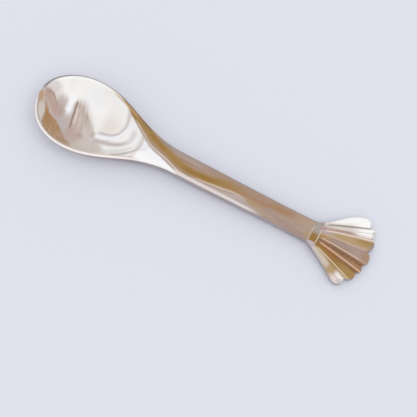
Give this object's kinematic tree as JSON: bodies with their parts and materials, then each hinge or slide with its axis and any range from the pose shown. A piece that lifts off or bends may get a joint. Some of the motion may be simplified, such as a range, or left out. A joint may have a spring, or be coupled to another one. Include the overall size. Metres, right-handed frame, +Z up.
{
  "type": "caviar_spoon",
  "caption": "One-piece mother-of-pearl caviar spoon with an egg-shaped dished bowl, a slim arched handle and a grooved scallop-shell fan at the end.",
  "frame": {"origin": "On the table, under the middle of the spoon's length and width, as the spoon rests face up.", "axes": "+X runs along the spoon from the bowl to the fan, +Y across it, +Z up from the table."},
  "size_m": [0.12, 0.0264, 0.007],
  "materials": {
    "mother_of_pearl": "polished, with a pearly sheen"
  },
  "bodies": {
    "root": {"spoon": "mother_of_pearl"}
  },
  "joints": []
}
